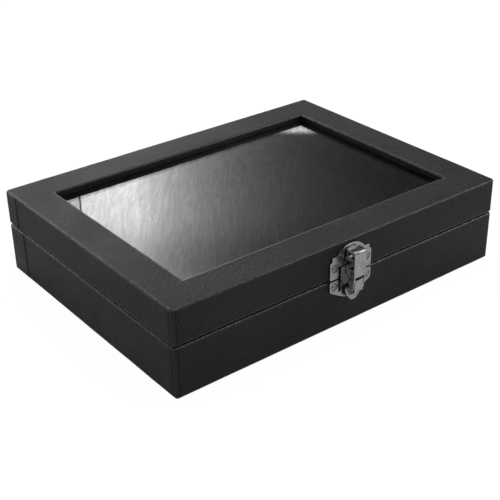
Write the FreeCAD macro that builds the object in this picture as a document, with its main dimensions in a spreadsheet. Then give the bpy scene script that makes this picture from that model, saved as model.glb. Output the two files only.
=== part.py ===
import FreeCAD, Part
import math
import os
import re
import Sketcher

# Pin display case: a leatherette-covered box with a glass lid, a pin pad and a toggle latch.
# Origin at the centre of the underside, X along the front, -Y towards the latch, +Z up. Sizes in mm.
V = FreeCAD.Vector

SIZES = {
    # Case
    "length": 200,
    "depth": 150,
    "base_top": 26.7,
    "seam_gap": 0.6,
    "case_height": 45.7,
    "wrap": 0.5,
    "corner_radius": 1.2,
    "wall": 6,
    "floor_sheet": 0.4,
    "sheet_inset": 3,
    "floor_board": 3,
    "turn_under": 12,
    "turn_in": 10,
    # Base lining and pin pad
    "liner": 1.5,
    "liner_drop": 1.5,
    "pad_clearance": 0.5,
    "pad_board": 1.5,
    "velvet": 0.8,
    "foam_edge": 11,
    "foam_crown": 1.6,
    # Lid
    "rail": 6,
    "frame_width": 17.6,
    "frame_board": 2.65,
    "under_turn": 9,
    "glass": 2,
    "glass_clearance": 0.5,
    "retainer": 3,
    # Hinges
    "hinge_inset": 45,
    "hinge_width": 18,
    "leaf": 0.8,
    "leaf_height": 12,
    "leaf_corner": 1.5,
    "knuckle_radius": 1.4,
    "knuckle_standoff": 0.35,
    "knuckle_gap": 0.25,
    "middle_knuckle": 7,
    "leaf_clearance": 0.5,
    "hinge_pin_radius": 0.6,
    "hinge_hole_pitch": 11,
    "hinge_hole_height": 8,
    # Latch plates
    "plate": 0.8,
    "plate_half": 12.9,
    "plate_gap": 0.5,
    "latch_hole_reach": 10,
    "upper_hole_rise": 6.2,
    "lower_hole_drop": 3.4,
    "ear_step": 1.3,
    "ear_shoulder": 9.8,
    "ear_top": 12.3,
    "dome_half": 8.5,
    "dome_rise": 4.4,
    "groove_inset": 1.2,
    "groove_width": 0.6,
    "groove_depth": 0.2,
    "slot_half": 7.7,
    "slot_rise": 6.4,
    "slot_drop": 7,
    "strap_half": 6.6,
    "strap_lift": 0.5,
    "strap_rise": 5.95,
    "strap_corner": 1,
    "strap_window_half": 2.4,
    "strap_window_drop": 3,
    "strap_window_rise": 3.6,
    "seat_radius": 2.1,
    "seat_depth": 0.35,
    "wing_inner_drop": 11.2,
    "wing_middle_drop": 9.6,
    "wing_outer_drop": 7.8,
    "wing_end_drop": 6,
    "hook_half": 2.2,
    "hook_rise": 8.6,
    "hook_reach": 4.7,
    "hook_tip": 3,
    "hook_window_half": 2.9,
    "hook_eye_half": 4.6,
    "hook_eye_rise": 13.4,
    # Latch lever and link
    "sheet": 0.6,
    "latch_gap": 0.3,
    "lever_half": 2.7,
    "lever_pivot_reach": 3,
    "lever_pivot_drop": 0.8,
    "lever_pin_radius": 0.6,
    "boss_radius": 1.3,
    "ear_foot_half": 3.4,
    "link_pivot_reach": 5.3,
    "link_pivot_drop": 5.6,
    "link_pin_radius": 0.5,
    "link_boss_radius": 0.9,
    "pivot_play": 0.05,
    "web_reach": 6.6,
    "web_top_drop": 0.2,
    "web_top_curve": 7,
    "web_bend_drop": 6.8,
    "web_foot_drop": 9.6,
    "cheek_top_curve": 6,
    "bell_reach": 3.3,
    "bell_top_drop": 4.8,
    "bell_shoulder_half": 4.4,
    "bell_corner": 1,
    "bell_half": 5.4,
    "bell_waist_half": 4.2,
    "bell_waist_drop": 9,
    "bell_curve": 9,
    "tongue_tip_drop": 12.6,
    "tongue_tip_half": 2.6,
    "tongue_tip_rise": 1.3,
    "link_reach": 7.2,
    "link_depth": 2,
    "link_bottom_rise": 1.2,
    "link_top_rise": 14.8,
    "link_return_reach": 1.6,
    "arm_step_drop": 1.1,
    "arm_step_rise": 1.9,
    "arm_strip": 0.8,
    "arm_notch_foot": 5.3,
    "arm_notch_top": 9.2,
    "arm_eye_foot": 10.6,
    "arm_eye_top": 13.6,
    "link_curl": 1.2,
    # Screws
    "screw_head": 1.6,
    "screw_head_height": 0.8,
    "screw_shank": 0.8,
    "screw_length": 5.5,
    "screw_hole": 1.1,
}

doc = FreeCAD.newDocument("pin_display_case")
sheet = doc.addObject("Spreadsheet::Sheet", "Dims")
for row, (name, number) in enumerate(SIZES.items(), start=1):
    sheet.set("A%d" % row, name)
    sheet.set("B%d" % row, str(number))
    sheet.setAlias("B%d" % row, name)
doc.recompute()

# Places worked out from the driving sizes, written as text so that the sheet stays their source.
HALF_X = "(length / 2)"
HALF_Y = "(depth / 2)"
SEAM = "(base_top + seam_gap / 2)"
LID_BOTTOM = "(base_top + seam_gap)"
FLOOR_BOTTOM = "(floor_sheet + wrap)"
FLOOR_TOP = "(%s + floor_board)" % FLOOR_BOTTOM
FRAME_TOP = "(case_height - wrap)"
FRAME_BOTTOM = "(%s - frame_board)" % FRAME_TOP
GLASS_TOP = "(%s - wrap)" % FRAME_BOTTOM
GLASS_BOTTOM = "(%s - glass)" % GLASS_TOP
WALL_INSIDE = "(wrap + wall)"
RAIL_INSIDE = "(wrap + rail)"
WINDOW = "(wrap + frame_width + wrap)"
PAD_INSET = "(%s + wrap + liner + pad_clearance)" % WALL_INSIDE
LEVER_PIVOT = ("lever_pivot_reach", "(%s - lever_pivot_drop)" % SEAM)
LINK_PIVOT = ("link_pivot_reach", "(%s - link_pivot_drop)" % SEAM)
LATCH_HOLE_UP = "(%s + upper_hole_rise)" % SEAM
LATCH_HOLE_DOWN = "(%s - lower_hole_drop)" % SEAM

pieces = []


def cells(text):
    """A size written in plain words, as the sheet reads it."""
    return re.sub("[a-z_]+", lambda word: ("Dims." if word.group() in SIZES else "") + word.group(), text)


def size(text):
    return float(sheet.evalExpression(cells(text)))


def minus(text):
    return "-(%s)" % text


def new_body(label, x="0", y="0", z="0"):
    body = doc.addObject("PartDesign::Body", label)
    body.Label = label
    body.AllowCompound = True
    for axis, place in zip("xyz", (x, y, z)):
        body.setExpression("Placement.Base." + axis, cells(place))
    pieces.append(body)
    return body


def new_sketch(body, name, role, offset="0"):
    """A sketch on one of the body's own planes, lifted off it along the plane's normal."""
    sketch = body.newObject("Sketcher::SketchObject", body.Label + "_" + name)
    plane = next(feature for feature in body.Origin.OriginFeatures if feature.Role == role)
    sketch.AttachmentSupport = (plane, [""])
    sketch.MapMode = "FlatFace"
    sketch.setExpression("AttachmentOffset.Base.z", cells(offset))
    return sketch


def hold(sketch, kind, *where, text):
    """A dimension of the sketch that follows the sheet."""
    index = sketch.addConstraint(Sketcher.Constraint(kind, *where, size(text)))
    sketch.setExpression("Constraints[%d]" % index, cells(text))


def arc_between(start, end, radius):
    """The short arc from start to end: its centre is on the left for a positive radius."""
    chord = end - start
    reach = math.sqrt(max(radius ** 2 - (chord.Length / 2) ** 2, 0))
    left = V(-chord.y, chord.x, 0).normalize()
    centre = (start + end) / 2 + left * math.copysign(reach, radius)
    turn = [math.atan2(point.y - centre.y, point.x - centre.x) for point in (start, end)]
    if radius < 0:
        turn.reverse()
    if turn[1] < turn[0]:
        turn[1] += 2 * math.pi
    return Part.ArcOfCircle(Part.Circle(centre, V(0, 0, 1), abs(radius)), *turn)


def outline(sketch, corners):
    """A closed outline. A corner is x, y and, where an arc arrives there, the arc's radius."""
    points = [V(size(corner[0]), size(corner[1]), 0) for corner in corners]
    edges = []
    for index, corner in enumerate(corners):
        radius = corner[2] if len(corner) > 2 else None
        if radius is None:
            edge = sketch.addGeometry(Part.LineSegment(points[index - 1], points[index]))
            edges.append((edge, 1, 2))
            continue
        edge = sketch.addGeometry(arc_between(points[index - 1], points[index], size(radius)))
        ends = (1, 2) if size(radius) > 0 else (2, 1)
        edges.append((edge,) + ends)
        hold(sketch, "Radius", edge, text="abs(%s)" % radius)
    for index, (edge, start, end) in enumerate(edges):
        after, after_start, _ = edges[(index + 1) % len(edges)]
        sketch.addConstraint(Sketcher.Constraint("Coincident", edge, end, after, after_start))
        hold(sketch, "DistanceX", -1, 1, edge, end, text=corners[index][0])
        hold(sketch, "DistanceY", -1, 1, edge, end, text=corners[index][1])
    return sketch


def symmetric(right, top=None, bottom=None):
    """Corners of an outline that is the same left and right, from its right side, going up."""
    path = [(right[0][0], right[0][1], bottom)] + [(*corner, None)[:3] for corner in right[1:]]
    arrivals = [corner[2] for corner in path[1:]]
    left = [(minus(corner[0]), corner[1]) for corner in reversed(right)]
    return path + [(*corner, radius) for corner, radius in zip(left, [top] + arrivals[::-1])]


def box_outline(sketch, half_x, half_y):
    return outline(sketch, symmetric([(half_x, minus(half_y)), (half_x, half_y)]))


def box_between(sketch, left, bottom, right, top):
    return outline(sketch, [(left, bottom), (right, bottom), (right, top), (left, top)])


def inset_box(sketch, inset):
    """The case's own rectangle, drawn in by the inset on all sides."""
    return box_outline(sketch, "%s - (%s)" % (HALF_X, inset), "%s - (%s)" % (HALF_Y, inset))


def circles(sketch, centres, radius):
    for x, y in centres:
        circle = sketch.addGeometry(Part.Circle(V(size(x), size(y), 0), V(0, 0, 1), size(radius)))
        hold(sketch, "Radius", circle, text=radius)
        hold(sketch, "DistanceX", -1, 1, circle, 3, text=x)
        hold(sketch, "DistanceY", -1, 1, circle, 3, text=y)
    return sketch


def computed(feature):
    if "Invalid" in feature.State or "Error" in feature.State:
        raise RuntimeError("%s did not compute: %s" % (feature.Name, feature.State))
    return feature


def pad(sketch, length, both=False):
    """Adds the sketch's outline along its normal, or half each way."""
    body = sketch.getParentGeoFeatureGroup()
    feature = body.newObject("PartDesign::Pad", sketch.Name + "_pad")
    feature.Profile = sketch
    feature.setExpression("Length", cells(length))
    feature.Midplane = both
    doc.recompute()
    return computed(feature)


def cut(sketch, length, both=False, forward=True):
    """Takes the sketch's outline away along its normal, and makes sure that something went."""
    body = sketch.getParentGeoFeatureGroup()
    before = body.Shape.Volume
    feature = body.newObject("PartDesign::Pocket", sketch.Name + "_cut")
    feature.Profile = sketch
    feature.setExpression("Length", cells(length))
    feature.Midplane = both
    feature.Reversed = forward and not both
    doc.recompute()
    if body.Shape.Volume >= before - 1e-6:
        raise RuntimeError(sketch.Name + " cuts nothing")
    return feature


def rounded(body, name, radius, pick, kind="Fillet"):
    """Rounds, or with Chamfer bevels, the edges of the body that pick chooses."""
    base = body.Tip
    names = ["Edge%d" % (i + 1) for i, edge in enumerate(base.Shape.Edges) if pick(edge)]
    feature = body.newObject("PartDesign::" + kind, body.Label + "_" + name)
    feature.Base = (base, names)
    feature.setExpression("Radius" if kind == "Fillet" else "Size", cells(radius))
    doc.recompute()
    return computed(feature)


def runs_along(edge, axis):
    """Whether the edge is straight and parallel to the axis."""
    straight = edge.Curve.TypeId == "Part::GeomLine"
    return straight and abs(edge.tangentAt(edge.FirstParameter).dot(axis)) > 0.999


def at_height(edge, height):
    return all(abs(vertex.Z - height) < 1e-4 for vertex in edge.Vertexes)


def mitred_corners(side, outset, thickness):
    """A strip along one side of the case with its ends mitred, outset in from the outer face."""
    far = "(%s + %s)" % (outset, thickness)
    near_x, near_y = ("(%s - (%s))" % (half, outset) for half in (HALF_X, HALF_Y))
    in_x, in_y = ("(%s - %s)" % (half, far) for half in (HALF_X, HALF_Y))
    along_front = [(minus(near_x), minus(near_y)), (near_x, minus(near_y)),
                   (in_x, minus(in_y)), (minus(in_x), minus(in_y))]
    along_right = [(near_x, minus(near_y)), (near_x, near_y), (in_x, in_y), (in_x, minus(in_y))]
    if side == "front":
        return along_front
    if side == "right":
        return along_right
    turned = along_front if side == "back" else along_right
    return [(minus(x), minus(y)) for x, y in turned]


def mitred_set(label, outset, thickness, bottom, top):
    """Four strips round the case, one body each."""
    for side in ("front", "back", "left", "right"):
        body = new_body(label % side, z=bottom)
        sketch = new_sketch(body, "section", "XY_Plane")
        outline(sketch, mitred_corners(side, outset, thickness))
        pad(sketch, "%s - %s" % (top, bottom))


def ring(body, name, bottom, height, outer, inner):
    """A band of covering that runs round the case."""
    sketch = new_sketch(body, name, "XY_Plane", bottom)
    inset_box(sketch, outer)
    inset_box(sketch, inner)
    return pad(sketch, height)


def base_cover():
    """Leatherette round the base: over the rim and down inside, and turned under the edge."""
    body = new_body("base_cover")
    pad(inset_box(new_sketch(body, "outside", "XY_Plane", "floor_sheet"), "0"), "base_top - floor_sheet")
    rounded(body, "corners", "corner_radius", lambda edge: runs_along(edge, V(0, 0, 1)))
    edges = (size("floor_sheet"), size("base_top"))
    rounded(body, "edges", "wrap * 0.6", lambda edge: any(at_height(edge, height) for height in edges),
            kind="Chamfer")
    cut(inset_box(new_sketch(body, "inside", "XY_Plane", FLOOR_BOTTOM), "wrap"), "base_top")
    cut(inset_box(new_sketch(body, "under", "XY_Plane"), "turn_under"), FLOOR_BOTTOM)
    inner = "%s + wrap" % WALL_INSIDE
    ring(body, "rim", "base_top - wrap", "wrap", "wrap", inner)
    ring(body, "turned_in", "base_top - turn_in", "turn_in - wrap", WALL_INSIDE, inner)


def lid_cover():
    """Leatherette round the lid: over the top, round the window's edge and back under the frame."""
    body = new_body("lid_cover")
    height = "case_height - %s" % LID_BOTTOM
    pad(inset_box(new_sketch(body, "outside", "XY_Plane", LID_BOTTOM), "0"), height)
    rounded(body, "corners", "corner_radius", lambda edge: runs_along(edge, V(0, 0, 1)))
    edges = (size(LID_BOTTOM), size("case_height"))
    rounded(body, "edges", "wrap * 0.6", lambda edge: any(at_height(edge, height) for height in edges),
            kind="Chamfer")
    cut(inset_box(new_sketch(body, "inside", "XY_Plane", LID_BOTTOM), "wrap"), "%s - wrap" % height)
    cut(inset_box(new_sketch(body, "window", "XY_Plane", FRAME_TOP), WINDOW), "2 * wrap")
    ring(body, "window_edge", FRAME_BOTTOM, "frame_board", "wrap + frame_width", WINDOW)
    ring(body, "under_frame", GLASS_TOP, "wrap", "%s - under_turn" % WINDOW, WINDOW)
    ring(body, "rim", LID_BOTTOM, "wrap", "wrap", "%s + wrap" % RAIL_INSIDE)
    ring(body, "turned_in", "%s + wrap" % LID_BOTTOM, "turn_in / 2", RAIL_INSIDE, "%s + wrap" % RAIL_INSIDE)


def plain_sheet(label, bottom, thickness, inset):
    body = new_body(label, z=bottom)
    pad(inset_box(new_sketch(body, "section", "XY_Plane"), inset), thickness)
    return body


def crowned_loft(body, name, kind, bottom, inset, edge, crown):
    """A block whose top is crowned both ways: a loft through three cross-sections."""
    half = "(%s - (%s))" % (HALF_Y, inset)
    sections = []
    for place, rise in ((-1, "0.35"), (0, "1"), (1, "0.35")):
        at = "%d * (%s - (%s))" % (place, HALF_X, inset)
        sketch = new_sketch(body, "%s_%d" % (name, place + 1), "YZ_Plane", at)
        top = "(%s + %s)" % (bottom, edge)
        lift = "(%s * %s)" % (crown, rise)
        radius = "((%s ^ 2 + %s ^ 2) / (2 * %s))" % (half, lift, lift)
        outline(sketch, symmetric([(half, bottom), (half, top)], top=radius))
        sections.append(sketch)
    feature = body.newObject("PartDesign::" + kind, body.Label + "_" + name)
    feature.Profile = sections[0]
    feature.Sections = sections[1:]
    doc.recompute()
    return computed(feature)


def pin_pad():
    """Card, foam and the velvet stretched over them, which the pins stick into."""
    pad_bottom = FLOOR_TOP
    foam_bottom = "(%s + pad_board)" % pad_bottom
    plain_sheet("pin_pad_board", pad_bottom, "pad_board", "%s + velvet" % PAD_INSET)
    foam = new_body("pin_pad_foam")
    foam_size = (foam_bottom, "(%s + velvet)" % PAD_INSET, "foam_edge", "foam_crown")
    crowned_loft(foam, "block", "AdditiveLoft", *foam_size)
    velvet = new_body("pin_pad_cover")
    velvet_edge = "(pad_board + foam_edge + velvet)"
    crowned_loft(velvet, "outside", "AdditiveLoft", pad_bottom, PAD_INSET, velvet_edge, "foam_crown")
    crowned_loft(velvet, "foam_space", "SubtractiveLoft", *foam_size)
    inside = inset_box(new_sketch(velvet, "board_space", "XY_Plane", pad_bottom), "%s + velvet" % PAD_INSET)
    cut(inside, "pad_board")


def screws(label, centres, seat, x="0", y="0", z="0", outward=1):
    """Wood screws in a group: heads on the seat, shanks into the board behind."""
    body = new_body(label, x, y, z)
    flip = "" if outward > 0 else "-"
    shank_from = "%s - screw_length" % seat if outward > 0 else "-(%s)" % seat
    shanks = new_sketch(body, "shanks", "XZ_Plane", shank_from)
    pad(circles(shanks, centres, "screw_shank"), "screw_length")
    head_from = seat if outward > 0 else "%s(%s + screw_head_height)" % (flip, seat)
    heads = new_sketch(body, "heads", "XZ_Plane", head_from)
    pad(circles(heads, centres, "screw_head"), "screw_head_height")


def hinge_leaf(label, x, up):
    """One leaf with its share of the three knuckles: up is 1 for the lid's leaf, -1 for the base's."""
    body = new_body(label, x, HALF_Y, SEAM)
    half = "hinge_width / 2"
    middle = "middle_knuckle / 2"
    clear = "(knuckle_radius + leaf_clearance)"
    sign = "" if up > 0 else "-"
    centre = "(knuckle_radius + knuckle_standoff)"
    low, high = ("%s%s" % (sign, clear), "%sleaf_height" % sign)
    bottom, top = (low, high) if up > 0 else (high, low)
    plate = new_sketch(body, "plate", "XZ_Plane", "-leaf")
    pad(box_between(plate, minus(half), bottom, half, top), "leaf")
    outer = size(high)
    rounded(body, "corners", "leaf_corner",
            lambda edge: runs_along(edge, V(0, 1, 0)) and at_height(edge, outer))
    spans = [(minus(middle), middle)]
    if up < 0:
        spans = [(minus(half), "-(%s + knuckle_gap)" % middle), ("(%s + knuckle_gap)" % middle, half)]
    for index, (start, end) in enumerate(spans):
        neck = new_sketch(body, "neck%d" % index, "YZ_Plane", start)
        neck_reach = "(leaf_clearance / 2)"
        lower, upper = (neck_reach, low) if up > 0 else (low, "-%s" % neck_reach)
        pad(box_between(neck, "0", lower, "leaf", upper), "%s - (%s)" % (end, start))
        barrel = new_sketch(body, "barrel%d" % index, "YZ_Plane", start)
        pad(circles(barrel, [(centre, "0")], "knuckle_radius"), "%s - (%s)" % (end, start))
    bore = new_sketch(body, "bore", "YZ_Plane")
    cut(circles(bore, [(centre, "0")], "hinge_pin_radius + pivot_play"), "hinge_width", both=True)
    holes = new_sketch(body, "holes", "XZ_Plane", "-leaf")
    cut(circles(holes, hinge_holes(up), "screw_hole"), "leaf")


def hinge_holes(up):
    height = "hinge_hole_height" if up > 0 else "-hinge_hole_height"
    return [("-hinge_hole_pitch / 2", height), ("hinge_hole_pitch / 2", height)]


def hinges():
    """Two small butt hinges on the back, their pins level with the seam."""
    for side, place in (("left", "-(%s - hinge_inset)" % HALF_X), ("right", "%s - hinge_inset" % HALF_X)):
        hinge_leaf("hinge_%s_base_leaf" % side, place, -1)
        hinge_leaf("hinge_%s_lid_leaf" % side, place, 1)
        pin = new_body("hinge_%s_pin" % side, place, "%s + knuckle_radius + knuckle_standoff" % HALF_Y, SEAM)
        section = circles(new_sketch(pin, "section", "YZ_Plane"), [("0", "0")], "hinge_pin_radius")
        pad(section, "hinge_width", both=True)
    for label, up in (("hinge_base_screws", -1), ("hinge_lid_screws", 1)):
        centres = [("%s(%s - hinge_inset) + (%s)" % (sign, HALF_X, x), z)
                   for sign in ("-", "") for x, z in hinge_holes(up)]
        screws(label, centres, "leaf", y=HALF_Y, z=SEAM, outward=-1)


def front(reach):
    """A distance out from the front face, as the sketches seen from the right read it."""
    return minus(reach)


def latch_holes(height):
    return [("-latch_hole_reach", height), ("latch_hole_reach", height)]


def arc_radius(half, rise):
    return "((({0}) ^ 2 + ({1}) ^ 2) / (2 * ({1})))".format(half, rise)


def upper_plate():
    """The lid's plate: a dome between two ears, a window below, and a hook between two holes."""
    body = new_body("latch_upper_plate", y=minus(HALF_Y))
    bottom = "(%s + plate_gap)" % SEAM
    shoulder, ear, window = ("(%s + %s)" % (SEAM, rise) for rise in ("ear_shoulder", "ear_top", "slot_rise"))
    right = [("slot_half", bottom), ("plate_half", bottom), ("plate_half", shoulder),
             ("plate_half - ear_step", shoulder), ("plate_half - ear_step", ear), ("dome_half", ear)]
    dome = arc_radius("dome_half", "dome_rise")
    corners = symmetric(right, top=dome)
    corners += [("-slot_half", window), ("slot_half", window)]
    pad(outline(new_sketch(body, "plate", "XZ_Plane"), corners[1:] + corners[:1]), "plate")
    rounded(body, "corners", "ear_step / 3", lambda edge: runs_along(edge, V(0, 1, 0))
            and abs(edge.Vertexes[0].X) > size("plate_half - ear_step") - 1e-3, kind="Chamfer")
    groove = new_sketch(body, "groove", "XZ_Plane", "plate - groove_depth")
    outer, inner = "groove_inset", "(groove_inset + groove_width)"
    outer_half, inner_half = ("(dome_half - %s)" % inset for inset in (outer, inner))
    outer_curve, inner_curve = (arc_radius("dome_half - " + inset, "dome_rise - " + inset)
                                for inset in (outer, inner))
    outline(groove, [(outer_half, ear), (minus(outer_half), ear, outer_curve),
                     (minus(inner_half), ear), (inner_half, ear, minus(inner_curve))])
    cut(groove, "plate")
    hook_bottom = "(%s + hook_rise)" % SEAM
    lanced = new_sketch(body, "lanced", "XZ_Plane")
    lanced_bottom = "%s - plate" % window
    cut(box_between(lanced, "-hook_window_half", lanced_bottom, "hook_window_half", hook_bottom), "plate")
    eye_bottom, eye_top = hook_bottom + " + 2 * plate", "%s + hook_eye_rise" % SEAM
    eye_above = new_sketch(body, "eye", "XZ_Plane")
    cut(box_between(eye_above, "-hook_eye_half", eye_bottom, "hook_eye_half", eye_top), "plate")
    hook_tip = "(%s + hook_tip)" % hook_bottom
    hook_inside = front("hook_reach - plate")
    profile = [(front("hook_reach"), hook_bottom), ("-plate / 2", hook_bottom),
               ("-plate / 2", hook_bottom + " + plate"), (hook_inside, hook_bottom + " + plate"),
               (hook_inside, hook_tip), (front("hook_reach"), hook_tip)]
    pad(outline(new_sketch(body, "hook", "YZ_Plane"), profile), "2 * hook_half", both=True)
    screw_seats(body, LATCH_HOLE_UP)


def screw_seats(body, height):
    """The plate's screw holes, each with a shallow sunk seat for the head."""
    cut(circles(new_sketch(body, "holes", "XZ_Plane"), latch_holes(height), "screw_hole"), "plate")
    seats = new_sketch(body, "seats", "XZ_Plane", "plate - seat_depth")
    cut(circles(seats, latch_holes(height), "seat_radius"), "plate")


def lower_plate():
    """The base's plate: wings for the screws and a raised strap whose ears carry the lever."""
    body = new_body("latch_lower_plate", y=minus(HALF_Y))
    top = "(%s - plate_gap)" % SEAM
    drops = ("wing_inner_drop", "wing_middle_drop", "wing_outer_drop", "wing_end_drop")
    wing = [("plate_half * %d / 4" % step, "%s - %s" % (SEAM, drop))
            for step, drop in enumerate(drops, start=1)]
    wing.append(("plate_half", top))
    pad(outline(new_sketch(body, "plate", "XZ_Plane"), symmetric(wing)), "plate")
    rounded(body, "corners", "ear_step / 3", lambda edge: runs_along(edge, V(0, 1, 0))
            and abs(edge.Vertexes[0].X) > size("plate_half") - 1e-3, kind="Chamfer")
    slot_bottom = "(%s - slot_drop)" % SEAM
    for side, near, far in (("right", "strap_half", "slot_half"), ("left", "-slot_half", "-strap_half")):
        slot = new_sketch(body, "slot_" + side, "XZ_Plane")
        cut(box_between(slot, near, slot_bottom, far, top), "plate")
    strap = new_sketch(body, "strap", "XZ_Plane", "strap_lift")
    strap_top = "(%s + strap_rise)" % SEAM
    pad(box_between(strap, "-strap_half", slot_bottom, "strap_half", strap_top), "plate")
    strap_end = size(strap_top)
    rounded(body, "strap_corners", "strap_corner",
            lambda edge: runs_along(edge, V(0, 1, 0)) and at_height(edge, strap_end))
    strap_window = new_sketch(body, "strap_window", "XZ_Plane")
    low, high = "%s - strap_window_drop" % SEAM, "%s + strap_window_rise" % SEAM
    cut(box_between(strap_window, "-strap_window_half", low, "strap_window_half", high), "plate + strap_lift")
    pivot_reach, pivot_height = LEVER_PIVOT
    foot = front("strap_lift + plate / 2")
    ear = [(foot, "%s - ear_foot_half" % pivot_height),
           (front(pivot_reach), "%s + boss_radius" % pivot_height),
           (foot, "%s + ear_foot_half" % pivot_height)]
    ear.insert(1, (front(pivot_reach + " + boss_radius"), pivot_height, "-boss_radius"))
    ear.insert(1, (front(pivot_reach), "%s - boss_radius" % pivot_height))
    ear[3] = (*ear[3], "-boss_radius")
    inner = "(lever_half + sheet + 2 * latch_gap)"
    for side, start in (("right", inner), ("left", "-(%s + sheet)" % inner)):
        pad(outline(new_sketch(body, "ear_" + side, "YZ_Plane", start), ear), "sheet")
    pin_hole = new_sketch(body, "pin_hole", "YZ_Plane")
    circles(pin_hole, [(front(pivot_reach), pivot_height)], "lever_pin_radius")
    cut(pin_hole, "2 * (%s + sheet)" % inner, both=True)
    screw_seats(body, LATCH_HOLE_DOWN)


def lever():
    """The lever: a bell-shaped finger plate, and a front web between two side cheeks that stand on it."""
    body = new_body("latch_lever", y=minus(HALF_Y))
    web_top = "(%s - web_top_drop)" % SEAM
    bend = "(%s - web_bend_drop)" % SEAM
    foot = "(%s - web_foot_drop)" % SEAM
    tip = "(%s - tongue_tip_drop)" % SEAM
    bell = [("tongue_tip_half", "(%s + tongue_tip_rise)" % tip),
            ("bell_waist_half", "(%s - bell_waist_drop)" % SEAM, "bell_curve"),
            ("bell_half", "(%s - bell_top_drop - bell_corner)" % SEAM, "bell_curve * 2"),
            ("bell_shoulder_half", "(%s - bell_top_drop)" % SEAM, "bell_corner")]
    tip_curve = arc_radius("tongue_tip_half", "tongue_tip_rise")
    plate = new_sketch(body, "bell", "XZ_Plane", "bell_reach - sheet")
    pad(outline(plate, symmetric(bell, bottom=tip_curve)), "sheet")
    profile = [(front("web_reach"), web_top), (front("web_reach"), bend), (front("bell_reach"), foot),
               (front("bell_reach - sheet / 2"), foot + " + sheet"),
               (front("web_reach - sheet"), bend + " + sheet / 2"), (front("web_reach - sheet"), web_top)]
    pad(outline(new_sketch(body, "side", "YZ_Plane"), profile), "2 * lever_half", both=True)
    bend_heights = (size(bend), size(bend + " + sheet / 2"))
    rounded(body, "bend", "sheet", lambda edge: runs_along(edge, V(1, 0, 0))
            and any(at_height(edge, height) for height in bend_heights))
    dip = new_sketch(body, "dip", "XZ_Plane")
    above = "%s + sheet" % web_top
    corners = [("lever_half", web_top, "web_top_curve"), ("lever_half", above),
               ("-lever_half", above), ("-lever_half", web_top)]
    cut(outline(dip, corners), "link_reach * 2")
    cheek_parts(body, web_top, bend)


def cheek_parts(body, web_top, bend):
    """The lever's cheeks, from the web back to the pivot and the bell, and the holes for both pins."""
    pivot_reach, pivot_height = LEVER_PIVOT
    link_reach, link_height = LINK_PIVOT
    web_back = front("web_reach - sheet / 2")
    cheek = [(web_back, bend + " + sheet / 2"),
             (front("bell_reach - sheet / 2"), "%s - web_foot_drop + sheet" % SEAM),
             (front("bell_reach - sheet"), "%s - bell_top_drop" % SEAM),
             (front(pivot_reach + " - boss_radius"), pivot_height),
             (front(pivot_reach), "%s + boss_radius" % pivot_height, "boss_radius"),
             (web_back, web_top, "-cheek_top_curve")]
    for side, start in (("right", "lever_half - sheet"), ("left", "-lever_half")):
        pad(outline(new_sketch(body, "cheek_" + side, "YZ_Plane", start), cheek), "sheet")
    bores = (("lever_bore", pivot_reach, pivot_height, "lever_pin_radius + pivot_play"),
             ("link_bore", link_reach, link_height, "link_pin_radius"))
    for name, reach, height, radius in bores:
        bore = new_sketch(body, name, "YZ_Plane")
        cut(circles(bore, [(front(reach), height)], radius), "2 * lever_half", both=True)


def link():
    """The link: a flat front whose top is bent back over the hook, and two pierced arms down to the lever."""
    body = new_body("latch_link", y=minus(HALF_Y))
    half = "(lever_half + latch_gap + sheet)"
    bottom = "(%s + link_bottom_rise)" % SEAM
    top = "(%s + link_top_rise)" % SEAM
    face = front("link_reach")
    inside = front("link_reach - sheet")
    back = front("link_return_reach")
    curl = [(front("link_reach - link_curl"), top), (face, top + " - link_curl", "link_curl"), (face, bottom)]
    profile = [(inside, bottom), (inside, top + " - sheet"), (back, top + " - sheet"), (back, top)] + curl
    pad(outline(new_sketch(body, "hood", "YZ_Plane"), profile), "2 * " + half, both=True)
    reach, height = LINK_PIVOT
    arm_back = front("link_reach - link_depth")
    arm = [(front(reach), "%s - link_boss_radius" % height, "link_boss_radius"),
           (front(reach + " - link_boss_radius"), height, "link_boss_radius"),
           (arm_back, "%s - arm_step_drop" % SEAM), (back, "%s + arm_step_rise" % SEAM), (back, top)]
    arm += curl + [(front(reach + " + link_boss_radius"), height)]
    for side, start in (("right", half + " - sheet"), ("left", minus(half))):
        pad(outline(new_sketch(body, "arm_" + side, "YZ_Plane", start), arm), "sheet")
    strip = front("link_reach - arm_strip")
    for name, behind in (("notch", "0"), ("eye", back + " - sheet")):
        foot, head = ("%s + arm_%s_%s" % (SEAM, name, end) for end in ("foot", "top"))
        opening = new_sketch(body, name, "YZ_Plane")
        cut(box_between(opening, strip, foot, behind, head), "2 * " + half, both=True)
    bore = new_sketch(body, "bore", "YZ_Plane")
    circles(bore, [(front(reach), height)], "link_pin_radius + pivot_play")
    cut(bore, "2 * " + half, both=True)


def latch_pin(label, pivot, radius, half_length):
    body = new_body(label, y="-(%s) - (%s)" % (HALF_Y, pivot[0]), z=pivot[1])
    section = circles(new_sketch(body, "section", "YZ_Plane"), [("0", "0")], radius)
    pad(section, "2 * (%s)" % half_length, both=True)


def latch():
    """A toggle latch on the front: plates, lever, link, pins and screws."""
    upper_plate()
    lower_plate()
    lever()
    link()
    latch_pin("latch_lever_pin", LEVER_PIVOT, "lever_pin_radius", "lever_half + 2 * sheet + 3 * latch_gap")
    latch_pin("latch_link_pin", LINK_PIVOT, "link_pin_radius", "lever_half + sheet + 1.5 * latch_gap")
    screws("latch_upper_screws", latch_holes(LATCH_HOLE_UP), "(plate - seat_depth)", y=minus(HALF_Y))
    screws("latch_lower_screws", latch_holes(LATCH_HOLE_DOWN), "(plate - seat_depth)", y=minus(HALF_Y))


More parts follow.
